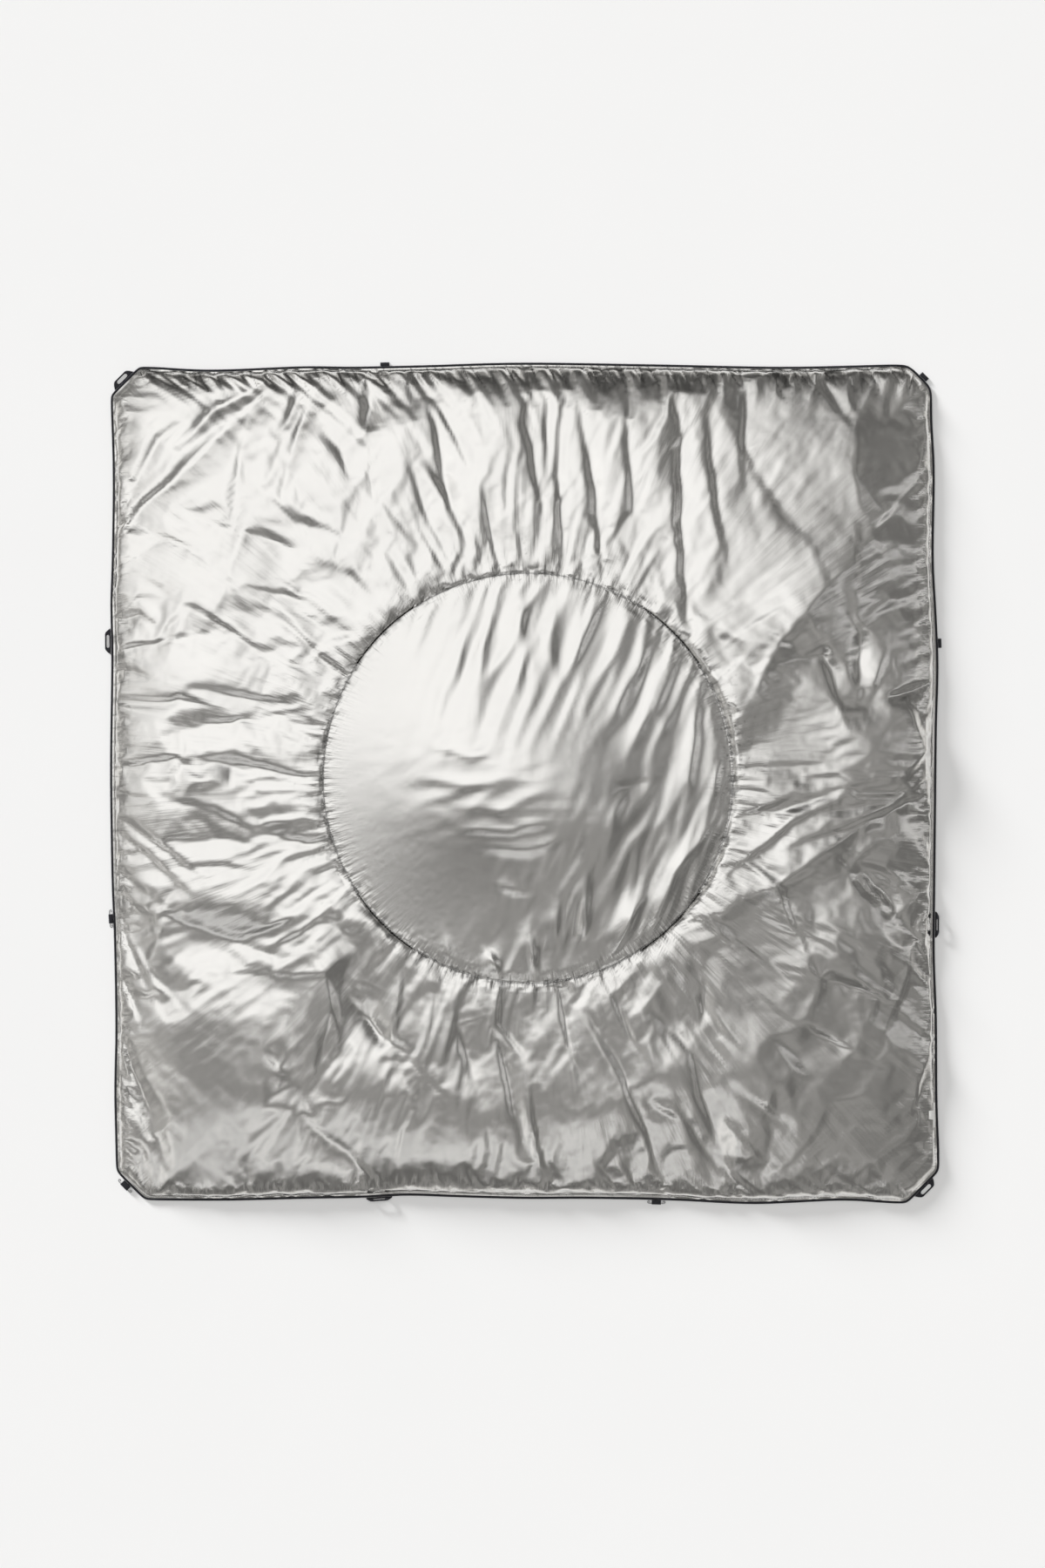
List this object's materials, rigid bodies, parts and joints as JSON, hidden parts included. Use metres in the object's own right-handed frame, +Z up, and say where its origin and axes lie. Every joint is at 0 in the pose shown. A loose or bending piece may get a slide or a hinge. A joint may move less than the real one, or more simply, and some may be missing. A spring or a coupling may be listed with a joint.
{
  "type": "insulated blanket",
  "caption": "Square filled silver blanket lying flat, sewn down along a middle circle, with black piping, slotted webbing loops, folded tabs and wire toggles round its edge.",
  "frame": {"origin": "middle of the laid-out blanket with its loops and tabs, on the surface it lies on", "axes": "+Z up from the surface, +Y towards the top edge of the blanket as laid out, +X towards its right-hand edge"},
  "size_m": [1.4119, 1.421, 0.0441],
  "materials": {
    "silver_cloth": "silver metallised woven cloth, satin to glossy",
    "black_webbing": "black woven webbing, matt",
    "grey_wire": "grey bent wire, satin",
    "white_tape": "white woven tape, plain"
  },
  "bodies": {
    "root": {"blanket": "silver_cloth", "binding": "black_webbing", "loop_corner_top_left": "black_webbing", "loop_left": "black_webbing", "loop_bottom": "black_webbing", "loop_corner_bottom_right": "black_webbing", "loop_right": "black_webbing", "tab_top": "black_webbing", "tab_corner_top_right": "black_webbing", "tab_right": "black_webbing", "tab_left": "black_webbing", "tab_corner_bottom_left": "black_webbing", "tab_bottom": "black_webbing", "toggle_left": "grey_wire", "toggle_corner_bottom_left": "grey_wire", "toggle_bottom": "grey_wire", "label": "white_tape"}
  },
  "joints": []
}
